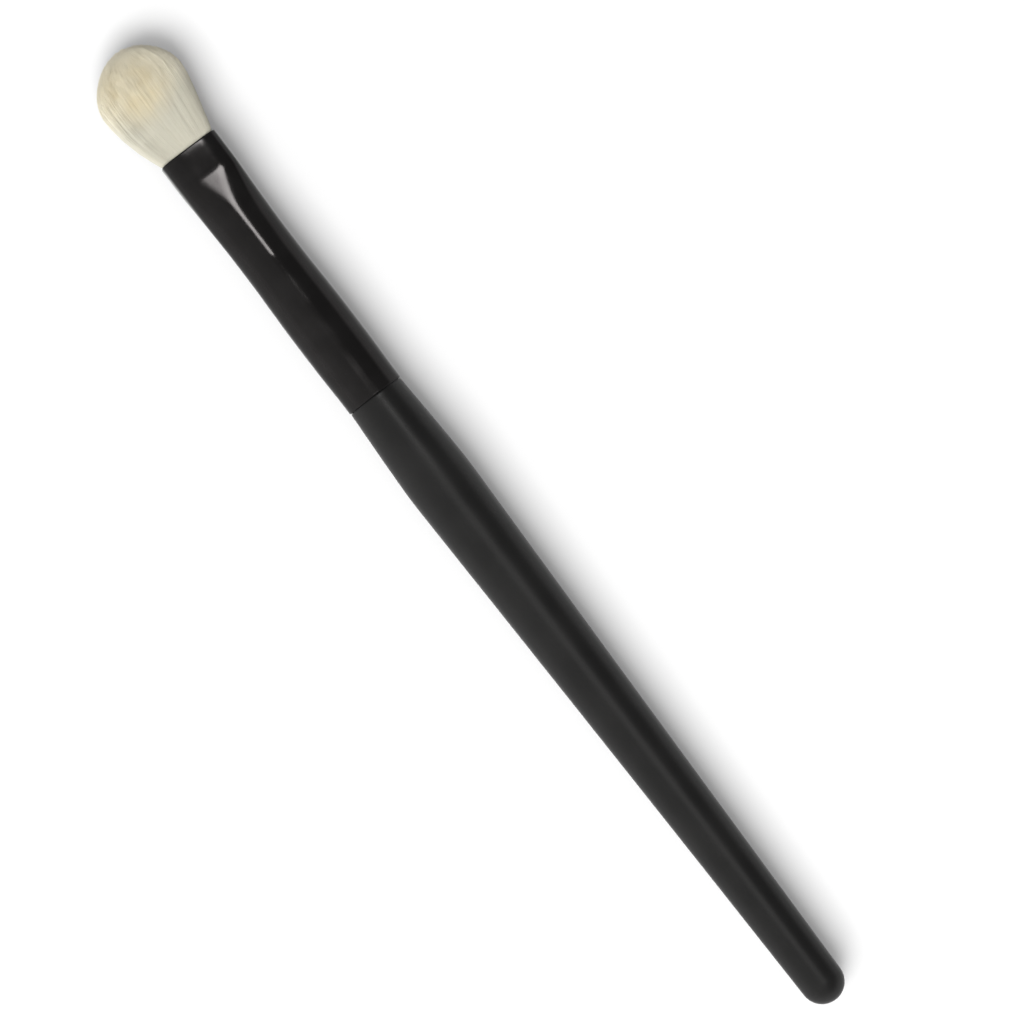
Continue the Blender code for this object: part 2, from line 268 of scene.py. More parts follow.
def ferruleSkin(x):
    f = ferrule
    lip = f["lipDraw"] * np.clip(1 - x / f["lipLength"], 0, 1) ** 2
    sides = ramp(x, f["mouthBand"], f["sideFunnel"], f["sideCorner"])
    flats = ramp(x, f["mouthBand"], f["flatFunnel"], f["flatCorner"])
    rise = ramp(x, f["waistEnd"], f["bulgeStart"] - f["waistEnd"], f["sideCorner"])
    fall = ease((x - f["bulgeEnd"]) / (f["length"] - f["rearLand"] - f["bulgeEnd"]))
    swell = (f["bulgeRadius"] - f["waistRadius"]) * rise
    swell = swell - (f["bulgeRadius"] - f["rearRadius"]) * fall
    square = (1 - np.clip((x - f["squareUntil"]) / f["squareFade"], 0, 1)) ** 3
    return (
        mix(f["mouthWidth"] / 2, f["waistRadius"], sides) + swell,
        mix(f["mouthThickness"] / 2, f["waistRadius"], flats) + swell - lip,
        mix(2.0, f["mouthFullness"], square),
    )


def ferruleBore(x):
    return smaller(ferruleSkin(x), ferrule["wall"])


def ferruleStations():
    # start, end and number of rings, closest where the pressing bends the tube
    edge = ferrule["wall"] / 2
    length = ferrule["length"]
    funnelEnd = ferrule["mouthBand"] + ferrule["flatFunnel"]
    runs = (
        (edge, 1.3 * mm, 14),
        (1.6 * mm, 3.7 * mm, 8),
        (3.9 * mm, 9.0 * mm, 44),
        (9.3 * mm, funnelEnd + 0.5 * mm, 34),
        (funnelEnd + mm, length - 1.5 * edge, 48),
        (length - edge, length - edge, 1),
    )
    return np.concatenate([np.linspace(*run) for run in runs])


def buildFerrule(material):
    edge = ferrule["wall"] / 2
    angles = ringAngles(ferrule["segments"])
    turns = np.linspace(0, math.pi, ferrule["edgeRings"] + 2)[1:-1]
    outside = ferruleStations()
    inside = np.append(outside[:0:-3], edge)   # every third ring will do in there

    def edgeRing(turn, atMouth):
        x = edge * (1 - math.sin(turn))
        x = x if atMouth else ferrule["length"] - x
        return ovalPoints(x, smaller(ferruleSkin(x), edge * (1 - math.cos(turn))), angles)

    rings = [ovalPoints(x, ferruleSkin(x), angles) for x in outside]
    rings += [edgeRing(turn, False) for turn in turns]
    rings += [ovalPoints(x, ferruleBore(x), angles) for x in inside]
    rings += [edgeRing(turn, True) for turn in turns[::-1]]
    mesh = skin("ferruleTube", np.array(rings), joined=True)
    placePiece("ferruleTube", mesh, material, "ferrule")


def glossyFerruleLacquer():
    f = ferrule
    material, tree, shader = newMaterial("glossyFerruleLacquer")
    spot = brushSpace(tree)
    smudge = noise(tree, spot, f["smudgeScale"], 3.0)
    lines = noise(tree, brushSpace(tree, f["lineStretch"]), f["lineScale"], 2.0, 0.6)
    speck = noise(tree, spot, f["dustScale"], 1.0)
    black = shaded(tree, smudge, f["blacks"], f["smudgeShades"])
    gloss = remap(tree, smudge, f["smudgeGloss"], f["roughness"])
    haze = remap(tree, lines, f["lineSpread"], (0, f["lineHaze"]))
    feed(tree, shader, {
        "Base Color": dusted(tree, speck, black, f),
        "Roughness": combine(tree, "ADD", gloss, haze),
        "Metallic": f["metallic"],
        "Specular IOR Level": f["specular"],
        "Specular Tint": f["edgeTint"],
    })
    addBump(tree, shader, noise(tree, spot, f["rippleScale"], 1.0), *f["ripple"])
    return material


# Handle: turned wood in matte black lacquer, with a bare tenon inside the ferrule

handle = {
    "length": 108.4 * mm,
    "shoulderRadius": 4.44 * mm,
    "shoulderFront": 0.22 * mm,   # how far the lacquer on the shoulder has run into the seam
    "shoulderRound": 0.90 * mm,
    "shoulderDrop": 0.11 * mm,
    "bellyRadius": 5.025 * mm,
    "bellyStart": 14.1 * mm,
    "bellyLand": 2.0 * mm,
    "buttRadius": 3.26 * mm,
    "swellBow": 0.27,             # how far the curves bow out from a straight cone
    "taperBow": 0.15,
    "softened": 2.4 * mm,         # how far the turned curves run into one another
    "softenSteps": 15,
    "softenFall": 0.8,            # how much less the furthest step counts
    "tenonLength": 14.0 * mm,
    "tenonRadius": 3.85 * mm,
    "tenonChamfer": 0.6 * mm,
    "grooveWidth": 1.6 * mm,
    "grooveDepth": 0.9 * mm,
    "grooves": (0.68, 0.30),      # shares of the tenon, back from the shoulder
    "segments": 144,
    "shoulderRings": 11,
    "rings": 150,                 # from the shoulder to the round end
    "buttRings": 19,

    "blacks": ((0.0215, 0.0212, 0.0208), (0.0255, 0.0250, 0.0245)),
    "roughness": (0.32, 0.36),
    "cloudScale": 150,            # faint clouds in the shade and the gloss
    "dust": (0.085, 0.083, 0.080),
    "dustSpread": (0.66, 0.80),
    "dustCover": 0.25,
    "toothScale": 7000,           # the fine tooth of the lacquer
    "grainScale": 2600,           # the wood's grain, which shows through it
    "grainStretch": 0.03,
    "tooth": (0.12, 0.03 * mm),   # strength and height of both
    "metallic": 0.65,             # mirrors more than it scatters
    "edgeTint": (0.6, 0.6, 0.6, 1),
    "woods": ((0.42, 0.27, 0.15), (0.62, 0.45, 0.28)),
    "woodScale": 900,
    "woodStretch": 0.05,
    "lacquerFrom": (-1.2 * mm, -0.9 * mm),   # where bare wood turns black, from the shoulder
}
shoulderX = ferrule["length"] + fitGap


def bowed(share, bow):
    return (1 + bow) * share - bow * share * share


def turnedRadius(x):
    h = handle
    swell = (x - h["shoulderRound"]) / (h["bellyStart"] - h["shoulderRound"])
    taperStart = h["bellyStart"] + h["bellyLand"]
    taper = (x - taperStart) / (h["length"] - h["buttRadius"] - taperStart)
    rising = mix(h["shoulderRadius"], h["bellyRadius"], bowed(swell, h["swellBow"]))
    falling = mix(h["bellyRadius"], h["buttRadius"], bowed(np.maximum(taper, 0), h["taperBow"]))
    return np.where(x < h["bellyStart"], rising, falling)


def handleRadius(x):
    h = handle
    steps = np.linspace(-1, 1, h["softenSteps"])
    weights = 1 - np.abs(steps) * h["softenFall"]
    radii = [w * turnedRadius(x + step * h["softened"]) for step, w in zip(steps, weights)]
    return float(sum(radii) / weights.sum())


def tenonOutline():
    # its flat end, its chamfer, the two glue grooves and on to the shoulder
    h = handle
    endRadius = h["tenonRadius"] - h["tenonChamfer"]
    outline = [(-h["tenonLength"], share * endRadius) for share in (0, 0.4, 0.8, 1)]
    outline.append((-h["tenonLength"] + h["tenonChamfer"], h["tenonRadius"]))
    floor = h["tenonRadius"] - h["grooveDepth"]
    for place in h["grooves"]:
        near = -h["tenonLength"] * place - h["grooveWidth"] / 2
        far = near + h["grooveWidth"]
        outline += [(near, h["tenonRadius"]), (near, floor), (far, floor), (far, h["tenonRadius"])]
    return outline + [(-h["shoulderFront"], h["tenonRadius"])]


def handleOutline():
    h = handle
    corner = h["shoulderRound"]
    firstRadius = handleRadius(corner)
    outline = tenonOutline()
    for turn in np.linspace(0, math.pi / 2, h["shoulderRings"]):
        x = mix(-h["shoulderFront"], corner, 1 - math.cos(turn))
        outline.append((x, firstRadius - h["shoulderDrop"] * (1 - math.sin(turn))))
    buttMiddle = h["length"] - h["buttRadius"]
    outline += [(x, handleRadius(x)) for x in np.linspace(corner, buttMiddle, h["rings"])[1:]]
    lastRadius = outline[-1][1]
    for turn in np.linspace(0, math.pi / 2, h["buttRings"])[1:]:
        outline.append((buttMiddle + h["buttRadius"] * math.sin(turn), lastRadius * math.cos(turn)))
    return outline


def buildHandle(material):
    outline = [(shoulderX + x, radius) for x, radius in handleOutline()]
    mesh = turned("handleTurning", outline, handle["segments"])
    placePiece("handleTurning", mesh, material, "handle")


def matteHandleLacquer():
    h = handle
    material, tree, shader = newMaterial("matteHandleLacquer")
    spot = brushSpace(tree)
    cloud = noise(tree, spot, h["cloudScale"], 4.0)
    grain = noise(tree, brushSpace(tree, h["grainStretch"]), h["grainScale"], 4.0, 0.6)
    tooth = noise(tree, spot, h["toothScale"], 2.0)
    black = dusted(tree, tooth, shaded(tree, cloud, h["blacks"]), h)
    woodRings = noise(tree, brushSpace(tree, h["woodStretch"]), h["woodScale"], 5.0)
    wood = shaded(tree, woodRings, h["woods"])
    along = addNode(tree, "ShaderNodeSeparateXYZ", {"Vector": spot}).outputs["X"]
    lacquered = remap(tree, along, [shoulderX + place for place in h["lacquerFrom"]])
    feed(tree, shader, {
        "Base Color": mixColour(tree, lacquered, wood, black),
        "Roughness": remap(tree, cloud, midNoise, h["roughness"]),
        "Metallic": remap(tree, lacquered, (0, 1), (0, h["metallic"])),
        "Specular Tint": h["edgeTint"],
    })
    addBump(tree, shader, combine(tree, "ADD", grain, tooth), *h["tooth"])
    return material


# Hair tuft: cream natural hair, tied at the root, fanned at the lip, domed at the tip

root = {
    "front": 1.5 * mm,
    "length": 8.0 * mm,
    "slack": 0.05 * mm,           # between the hair and the bore
    "waistStart": 3.9 * mm,       # where the thread draws it in
    "waistEnd": 8.5 * mm,
    "waistSlope": 0.5 * mm,
    "threadSlack": 0.02 * mm,
}
tuft = {
    "length": 17.35 * mm,         # the longest hairs; most end a little short of it
    "width": 14.0 * mm,
    "thickness": 9.0 * mm,
    "widest": 10.45 * mm,         # from the mouth to the widest place
    "fullness": 2.1,
    "flarePower": 1.5,
    "domePower": 1.85,
    "sideSwell": 0.10 * mm,       # how far the hair swells over the lip, sideways
    "flatSwell": 0.42 * mm,       # and up and down
    "swellReach": 0.28 * mm,
    "tuck": 0.45,                 # share by which the hair bends in on its way to the tip
    "leanPlaces": (0, 0.28, 0.6, 0.8, 1.0),   # shares of the length where the hair leans
    "leans": (0, -0.27 * mm, -0.10 * mm, 0.02 * mm, 0.25 * mm),
    "layers": ("hairCore", "hairMiddle", "hairOuter"),
    "strands": 9000,
    "filled": 0.992,              # share of the section that the strands fill
    "stations": (0, 0.035, 0.14, 0.33, 0.56, 0.77, 0.92, 1),   # of a strand, mouth to tip
    # in mm, half its width at four stations in the root and at these, up to its point
    "halfWidths": (0.026, 0.026, 0.026, 0.030, 0.040, 0.044, 0.050, 0.055, 0.058, 0.055, 0.044),
    "unevenTips": 0.22 * mm,
    "shortTips": 0.05,            # share of strands that end well short
    "shortBy": 1.6 * mm,
    "clumps": 300,
    "clumping": 0.012,
    "clumpRise": 1.6,             # the higher, the nearer to the tip it comes in
    "clumpTips": 0.16 * mm,       # how unevenly the clumps end
    "waviness": 0.006,
    "waveRise": 1.3,
    "waveTurns": (5.5, 6.5),      # radians of wave from mouth to tip, across and up
    "strayShare": 0.012,
    "strayWaviness": 2.6,         # times the waviness of the others
    "strayOut": (0.02, 0.05),     # share by which strays stand off at the tip
    "strayRise": 2,
    "seed": 7,

    "shadingLift": 1.15,          # light that hairs pass on to those beneath, as raised normals
    "rootColour": (0.685, 0.66, 0.552),
    # paler than the hair's own tips: painted light that makes up for shade on the dome
    "tipColourWithPaintedLight": (0.98, 0.93, 0.765),
    "tipFrom": 0.55,              # share of the length where the tip's colour, with its painted light, starts
    "warmColour": (0.775, 0.686, 0.478),
    "warmMiddle": (-11.2 * mm, -1.3 * mm, 0),
    "warmShape": (1, 0.9, 0.25),  # less than 1 is a longer patch that way
    "warmReach": (6.8 * mm, 2.0 * mm),        # from none of the warm colour to all of it
    "patchScale": 320,            # the warm colour comes and goes a little
    "patchSpread": (0.25, 0.65),
    "patchLeast": 0.55,
    "tintShares": (0.8, 0.25),    # of a hair's own tint and of its clump's
    "tintRange": 2.2,
    "darkHair": (0.965, 0.96, 0.95),          # times the colour, for the darkest
    "lightHair": (1.015, 1.015, 1.02),        # and the lightest hairs
    "roughness": 0.62,
    "specular": 0.3,
    "sheen": 0.12,
}
strandSides = 3   # every strand is a three-sided spike


def waistDepth(x):
    depth = thread["diameter"] + fitGap + root["threadSlack"]
    inward = ease((x - root["waistStart"] + root["waistSlope"]) / root["waistSlope"])
    outward = ease((x - root["waistEnd"]) / root["waistSlope"])
    return depth * (inward - outward)


def hairSection(x):
    t = tuft
    halfWidth, halfThickness, fullness = ferruleBore(np.maximum(x, 0.0))
    slack = root["slack"] + waistDepth(x)
    out = np.maximum(-x, 0.0)
    spread = 1 - (1 - np.clip(out / t["widest"], 0, 1)) ** t["flarePower"]
    swell = (1 - np.exp(-out / t["swellReach"])) * (1 - spread)
    lip = ferrule["lipDraw"] * (x <= 0)
    return (
        mix(halfWidth - slack, t["width"] / 2, spread) + t["sideSwell"] * swell,
        mix(halfThickness - slack + lip, t["thickness"] / 2, spread) + t["flatSwell"] * swell,
        mix(fullness, t["fullness"], spread),
    )


def tuckAt(x):
    # 1 up to the widest place, then less as the hair bends in over the dome
    late = np.clip((-x - tuft["widest"]) / (tuft["length"] - tuft["widest"]), 0, 1)
    return 1 - tuft["tuck"] * late * late


def domePlaces(share):
    # where each strand meets the dome, found by halving
    near = np.zeros_like(share)
    far = np.ones_like(share)
    depth = tuft["length"] - tuft["widest"]
    for _ in range(30):
        middle = (near + far) / 2
        reached = share * tuckAt(-tuft["widest"] - depth * middle)
        outside = reached ** tuft["domePower"] + middle ** tuft["domePower"] > 1
        far = np.where(outside, middle, far)
        near = np.where(outside, near, middle)
    return -tuft["widest"] - depth * near


def discPoints(share, angle):
    return np.stack([share * np.cos(angle), share * np.sin(angle)], axis=1)


def gatherClumps(spots, chance):
    # each strand is drawn a little towards the nearest of the scattered clumps
    count = tuft["clumps"]
    clumps = discPoints(np.sqrt(chance.random(count)), chance.random(count) * 2 * math.pi)
    nearest = np.argmin(((spots[:, None] - clumps[None]) ** 2).sum(axis=2), axis=1)
    pull = tuft["clumping"] * mix(0.6, 1.0, chance.random(count))[nearest]
    return nearest, (clumps[nearest] - spots) * pull[:, None]


def strandTips(share, nearest, chance):
    t = tuft
    count = len(share)
    tips = domePlaces(share)
    tips = tips + t["unevenTips"] * chance.random(count) ** 2 * mix(0.4, 1.0, share)
    short = chance.random(count) < t["shortTips"]
    tips = tips + short * chance.random(count) * t["shortBy"]
    return tips + (chance.random(t["clumps"]) - 0.3)[nearest] * t["clumpTips"]


def strandPaths():
    t = tuft
    chance = np.random.default_rng(t["seed"])
    count = t["strands"]
    index = np.arange(count)
    share = np.sqrt((index + 0.5) / count) * t["filled"]
    spots = discPoints(share, index * math.pi * (3 - math.sqrt(5)))   # as a sunflower's seeds
    nearest, gather = gatherClumps(spots, chance)
    tips = strandTips(share, nearest, chance)

    # the end of the root, both ends of its waist, and where it fills the bore again
    waist = root["waistStart"]
    behind = [root["front"] + root["length"], root["waistEnd"], waist, waist - root["waistSlope"]]
    ahead = np.array(t["stations"])
    x = np.concatenate([np.tile(behind, (count, 1)), tips[:, None] * ahead], axis=1)
    along = np.concatenate([np.zeros(len(behind)), ahead])

    waves = chance.random((count, 4)) * 2 * math.pi
    stray = chance.random(count) < t["strayShare"]
    sway = t["waviness"] * (0.5 + chance.random(count)) * np.where(stray, t["strayWaviness"], 1)
    bends = [
        np.sin(waves[:, way, None] + turns * along + 2.0 * np.sin(waves[:, way + 2, None]))
        for way, turns in enumerate(t["waveTurns"])
    ]
    wavy = np.stack(bends, axis=2) * (sway[:, None] * along ** t["waveRise"])[..., None]
    gathered = gather[:, None] * (along ** t["clumpRise"])[:, None]
    outwards = np.where(stray, mix(*t["strayOut"], chance.random(count)), 0)
    standing = 1 + outwards[:, None] * along ** t["strayRise"]
    flat = (spots[:, None] + gathered + wavy) * standing[..., None]
    reach = np.linalg.norm(flat, axis=2) * tuckAt(x)
    turn = np.arctan2(flat[..., 1], flat[..., 0])
    paths = ovalPoints(x, hairSection(x), turn, reach)
    paths[..., 1] += np.interp(-x / t["length"], t["leanPlaces"], t["leans"])

    own, clump = t["tintShares"]
    tint = own * chance.normal(0, 1, count) + clump * chance.normal(0, 1, t["clumps"])[nearest]
    spin = chance.random(count) * 2 * math.pi
    return paths, along, np.clip(tint / t["tintRange"], -1, 1), spin


def strandFaces(stations):
    # one strand's faces, and where their corners lie on its strip of the colour map
    heights = [0.05 + 0.95 * row / (stations - 1) for row in range(stations)]
    faces, corners = [], []
    for row in range(stations - 2):
        near, far = row * strandSides, (row + 1) * strandSides
        low, high = heights[row], heights[row + 1]
        for side in range(strandSides):
            after = (side + 1) % strandSides
            faces.append((near + after, near + side, far + side, far + after))
            corners.append(((side + 1, low), (side, low), (side, high), (side + 1, high)))
    last, point = (stations - 2) * strandSides, (stations - 1) * strandSides
    for side in range(strandSides):
        faces.append((last + (side + 1) % strandSides, last + side, point))
        corners.append(((side + 1, heights[-2]), (side, heights[-2]), (side + 0.5, 1)))
    faces.append((0, 1, 2))
    corners.append(((0, 0), (1.5, 0), (0.75, 0.04)))
    return faces, np.concatenate(corners)


def layOutStrips(mesh, corners, tint):
    # each strand has its own square of the map, with like tints side by side
    strands = len(tint)
    squares = math.ceil(math.sqrt(strands))
    rank = np.empty(strands, int)
    rank[np.argsort(tint)] = np.arange(strands)
    cell = np.stack([rank % squares, rank // squares], axis=1)
    inset = (0.1, 0.06) + (0.8, 0.88) * corners / (strandSides, 1)
    places = (cell[:, None] + inset[None]) / squares
    mesh.uv_layers.new(name="OFBake").data.foreach_set("uv", places.reshape(-1))


def buildHairLayer(name, paths, along, tint, spin, material):
    strands, stations = paths.shape[:2]
    angles = spin[:, None] + 2 * math.pi * np.arange(strandSides)[None] / strandSides
    around = np.stack([np.zeros_like(angles), np.cos(angles), np.sin(angles)], axis=2)
    widths = (np.array(tuft["halfWidths"]) * mm)[:, None, None]
    rings = paths[:, :-1, None] + widths * around[:, None]
    points = np.concatenate([rings.reshape(strands, -1, 3), paths[:, -1:]], axis=1)
    pointCount = points.shape[1]

    faces, corners = strandFaces(stations)
    loops = np.concatenate(faces)
    starts = np.arange(strands) * pointCount
    faceSizes = np.tile([len(face) for face in faces], strands)
    mesh = bpy.data.meshes.new(name)
    mesh.vertices.add(strands * pointCount)
    mesh.vertices.foreach_set("co", points.reshape(-1))
    mesh.loops.add(strands * len(loops))
    mesh.loops.foreach_set("vertex_index", (starts[:, None] + loops[None]).reshape(-1))
    mesh.polygons.add(len(faceSizes))
    mesh.polygons.foreach_set("loop_start", np.concatenate([[0], np.cumsum(faceSizes)[:-1]]))
    mesh.update(calc_edges=True)
    layOutStrips(mesh, corners, tint)

    alongPoints = np.append(np.repeat(along[:-1], strandSides), along[-1])
    hairAlong, hairTint = np.tile(alongPoints, strands), np.repeat(tint, pointCount)
    for key, values in (("hairAlong", hairAlong), ("hairTint", hairTint)):
        mesh.attributes.new(key, "FLOAT", "POINT").data.foreach_set("value", values)
    mesh.shade_smooth()
    upward = np.broadcast_to((0.0, 0.0, 1.0), (strands, 1, 3))
    normals = np.concatenate([np.tile(around, (1, stations - 1, 1)), upward], axis=1)
    normals = normals + (0, 0, tuft["shadingLift"])
    normals /= np.linalg.norm(normals, axis=2, keepdims=True)
    mesh.normals_split_custom_set_from_vertices(normals.reshape(-1, 3).tolist())
    placePiece(name, mesh, material, "hair_tuft")


def buildTuft(material):
    paths, along, tint, spin = strandPaths()
    layerSize = tuft["strands"] // len(tuft["layers"])
    for number, name in enumerate(tuft["layers"]):   # from the middle of the tuft outwards
        part = slice(number * layerSize, (number + 1) * layerSize)
        buildHairLayer(name, paths[part], along, tint[part], spin[part], material)


def creamHair():
    t = tuft
    material, tree, shader = newMaterial("creamHair")
    along, tint = (
        addNode(tree, "ShaderNodeAttribute", attribute_name=name).outputs["Fac"]
        for name in ("hairAlong", "hairTint")
    )
    # lighter towards the tip, partly the hair's own colour and partly painted light against the
    # dome's shade
    rootToTipWithPaintedLight = shaded(tree, along, (t["rootColour"], t["tipColourWithPaintedLight"]), (t["tipFrom"], 1))

    # the warm patch, by how far a hair is from its middle
    spot = brushSpace(tree)
    for operation, value in (("SUBTRACT", t["warmMiddle"]), ("MULTIPLY", t["warmShape"])):
        sockets = {0: spot, 1: value}
        spot = addNode(tree, "ShaderNodeVectorMath", sockets, operation=operation).outputs[0]
    distance = addNode(tree, "ShaderNodeVectorMath", {0: spot}, operation="LENGTH").outputs["Value"]
    patchy = noise(tree, brushSpace(tree), t["patchScale"], 2.0)
    patch = remap(tree, patchy, t["patchSpread"], (t["patchLeast"], 1))
    warmth = combine(tree, "MULTIPLY", remap(tree, distance, t["warmReach"]), patch)
    colour = mixColour(tree, warmth, rootToTipWithPaintedLight, t["warmColour"])

    shades = [mixColour(tree, 1.0, colour, t[key], "MULTIPLY") for key in ("darkHair", "lightHair")]
    feed(tree, shader, {
        "Base Color": shaded(tree, tint, shades, (-1, 1)),
        "Roughness": t["roughness"],
        "Specular IOR Level": t["specular"],
        "Sheen Weight": t["sheen"],
    })
    return material


# Binding thread: three plies twisted together, wound round the waist of the root

thread = {
    "diameter": 0.40 * mm,
    "pitch": 0.90 * mm,
    "turns": 4,
    "plies": 3,
    "plyRadius": 0.232,           # share of the diameter
    "plyTwist": 1.5 * mm,         # length in which a ply goes once round
    "plySides": 8,
    "pointsInTwist": 12,

    "shades": ((0.50, 0.46, 0.39), (0.62, 0.59, 0.52)),
    "shadeScale": 2200,
    "roughness": (0.55, 0.80),
    "fibreScale": 14000,
    "fibre": (0.4, 0.02 * mm),    # strength and height
}


def threadCentre(turns):
    start = root["waistStart"] + fitGap + thread["diameter"] / 2
    x = start + thread["pitch"] * turns
    section = smaller(ferruleBore(x), fitGap + thread["diameter"] / 2)
    return ovalPoints(x, section, 2 * math.pi * turns)


def unit(vectors):
    return vectors / np.linalg.norm(vectors, axis=1, keepdims=True)


def buildBinding(material):
    t = thread
    coarse = threadCentre(np.linspace(0, t["turns"], 2000))
    lengths = np.append(0, np.cumsum(np.linalg.norm(np.diff(coarse, axis=0), axis=1)))
    count = int(lengths[-1] / t["plyTwist"] * t["pointsInTwist"])
    at = np.linspace(0, lengths[-1], count)   # evenly spaced along the thread
    centre = np.stack([np.interp(at, lengths, coarse[:, axis]) for axis in range(3)], axis=1)
    heading = unit(np.gradient(centre, axis=0))
    outward = centre * (0, 1, 1)
    outward = unit(outward - heading * (outward * heading).sum(axis=1, keepdims=True))
    sideways = np.cross(heading, outward)

    def roundIt(angle):
        # directions away from the thread's middle line
        angle = angle[..., None]
        return np.cos(angle) * outward[:, None] + np.sin(angle) * sideways[:, None]

    plyRadius = t["diameter"] * t["plyRadius"]
    plyOffset = t["diameter"] / 2 - plyRadius
    around = roundIt(2 * math.pi * np.arange(t["plySides"])[None] / t["plySides"])
    for ply in range(t["plies"]):
        twist = 2 * math.pi * (at / t["plyTwist"] + ply / t["plies"])
        rings = centre[:, None] + plyOffset * roundIt(twist[:, None]) + plyRadius * around
        name = f"bindingPly{ply + 1}"
        mesh = skin(name, rings[:, ::-1], sharpAngle=60)
        placePiece(name, mesh, material, "tuft_binding")
    print(f"binding thread: {lengths[-1] / mm:.0f} mm in {t['turns']} turns")


def waxedThread():
    t = thread
    material, tree, shader = newMaterial("waxedThread")
    fibre = noise(tree, brushSpace(tree), t["fibreScale"], 3.0)
    fleck = noise(tree, brushSpace(tree), t["shadeScale"], 2.0)
    feed(tree, shader, {
        "Base Color": shaded(tree, fleck, t["shades"]),
        "Roughness": remap(tree, fibre, midNoise, t["roughness"]),
    })
    addBump(tree, shader, fibre, *t["fibre"])
    return material


# Resin: poured in behind the root, with a dished back where it wetted the wall

resin = {
    "length": 3.6 * mm,
    "meniscus": 0.8 * mm,
    "edgeRound": 0.12 * mm,
    "frontShares": (0.01, 0.3, 0.6, 0.85),    # rings on its flat front, middle to rim
    "edgeRings": 5,
    "sideRings": 10,
    "backRings": 18,
    "segments": 96,

    "shades": ((0.36, 0.21, 0.07), (0.52, 0.35, 0.15)),
    "shadeScale": 700,
    "roughness": (0.12, 0.24),
    "bubble": (0.75, 0.62, 0.40),
    "bubbleScale": 4200,
    "bubbleSpread": (0.70, 0.74),
    "bubbleCover": 0.5,
    "dents": (0.15, 0.02 * mm),   # strength and height of the bubbles' marks
}


def buildResin(material):
    r = resin
    front = root["front"] + root["length"] + fitGap
    back = front + r["length"]
    angles = ringAngles(r["segments"])
    frontSection, backSection = (smaller(ferruleBore(x), fitGap) for x in (front, back))
    rings = [ovalPoints(front, frontSection, angles, share) for share in r["frontShares"]]
    for turn in np.linspace(0, math.pi / 2, r["edgeRings"]):
        x = front + r["edgeRound"] * (1 - math.cos(turn))
        inward = fitGap + r["edgeRound"] * (1 - math.sin(turn))
        rings.append(ovalPoints(x, smaller(ferruleBore(x), inward), angles))
    for x in np.linspace(front, back, r["sideRings"])[1:]:
        rings.append(ovalPoints(x, smaller(ferruleBore(x), fitGap), angles))
    for share in np.linspace(1, r["frontShares"][0], r["backRings"])[1:]:
        x = back - r["meniscus"] * (1 - share ** 2)
        rings.append(ovalPoints(x, backSection, angles, share))
    placePiece("resinPlug", skin("resinPlug", np.array(rings)), material, "resin_plug")


def amberResin():
    r = resin
    material, tree, shader = newMaterial("amberResin")
    depth = noise(tree, brushSpace(tree), r["shadeScale"], 3.0)
    bubbles = noise(tree, brushSpace(tree), r["bubbleScale"], 0.0)
    cover = remap(tree, bubbles, r["bubbleSpread"], (0, r["bubbleCover"]))
    feed(tree, shader, {
        "Base Color": mixColour(tree, cover, shaded(tree, depth, r["shades"]), r["bubble"]),
        "Roughness": remap(tree, depth, midNoise, r["roughness"]),
    })
    addBump(tree, shader, bubbles, *r["dents"])
    return material


# Glue: a ring in each of the tenon's two grooves

glue = {
    "rings": (("glueRingFront", "tenon_adhesive_front"), ("glueRingRear", "tenon_adhesive_rear")),
    "corner": 0.1 * mm,
    "cornerRings": 5,
    "segments": 96,

    "shades": ((0.54, 0.45, 0.28), (0.66, 0.58, 0.40)),
    "roughness": (0.35, 0.50),
    "lumpScale": 1100,
    "lumps": (0.3, 0.05 * mm),    # strength and height
}


def glueOutline(middle):
    # round the ring's section, corner by corner: two at the bore and two in the groove
    corner = glue["corner"]
    half = handle["grooveWidth"] / 2 - fitGap
    outline = []
    for side, start in ((1, 0), (-1, 90), (-1, 180), (1, 270)):
        for turn in np.radians(np.linspace(start, start + 90, glue["cornerRings"])):
            x = middle + (side * (half - corner) + corner * math.cos(turn))
            radius = handle["tenonRadius"] - handle["grooveDepth"] + fitGap + corner
            if start < 180:
                radius = ferruleBore(x)[0] - fitGap - corner
            outline.append((x, radius + corner * math.sin(turn)))
    return outline[::-1]


def buildGlue(material):
    for (name, node), place in zip(glue["rings"], handle["grooves"]):
        middle = shoulderX - handle["tenonLength"] * place
        mesh = turned(name, glueOutline(middle), glue["segments"], joined=True)
        placePiece(name, mesh, material, node)


def creamGlue():
    material, tree, shader = newMaterial("creamGlue")
    lumps = noise(tree, brushSpace(tree), glue["lumpScale"], 3.0)
    feed(tree, shader, {
        "Base Color": shaded(tree, lumps, glue["shades"]),
        "Roughness": remap(tree, lumps, midNoise, glue["roughness"]),
    })
    addBump(tree, shader, lumps, *glue["lumps"])
    return material


# Table, lamps, sky and camera

studio = {
    "tableReach": 24.0,           # metres from its middle to its edges
    "tableWhite": 0.9,
    "tableLift": 0.095,           # added to what the camera and the reflections see

    "keyDirection": (0.36, -0.55, 1.0),
    "keyDistance": 3.0,
    "keySize": 1.75,
    "keyLevel": 0.54,             # of the light on the table, where 1 makes white paper white

    # the strip and the panel only show as reflections, on the ferrule and the handle
    "stripAngles": (13.0, 10.0),  # degrees off straight up, towards the tip and to the far side
    "stripSize": (0.11, 0.16),    # along the brush and across it
    "stripTurn": 30,              # degrees, so that its far end comes nearer to straight up
    "stripRadiance": 16.5,
    "panelAngles": (-12.0, 3.0),
    "panelSize": (0.30, 0.42),
    "panelTurn": 0,
    "panelRadiance": 1.3,
    "overheadDistance": 1.0,

    "skyDark": 0.235,             # on the far side
    "skyBright": 0.62,            # on the near side
    "skyEdge": (0.22, -0.18),     # how far towards the far side the one turns into the other
    "nearGlow": 0.18,             # what the sky gains low on the near side
    "nearGlowEdge": (-0.3, -1.0),
    "horizonLevel": 1.0,
    "horizonEdge": (0.42, 0.10),  # how high up the sky turns into the horizon
}
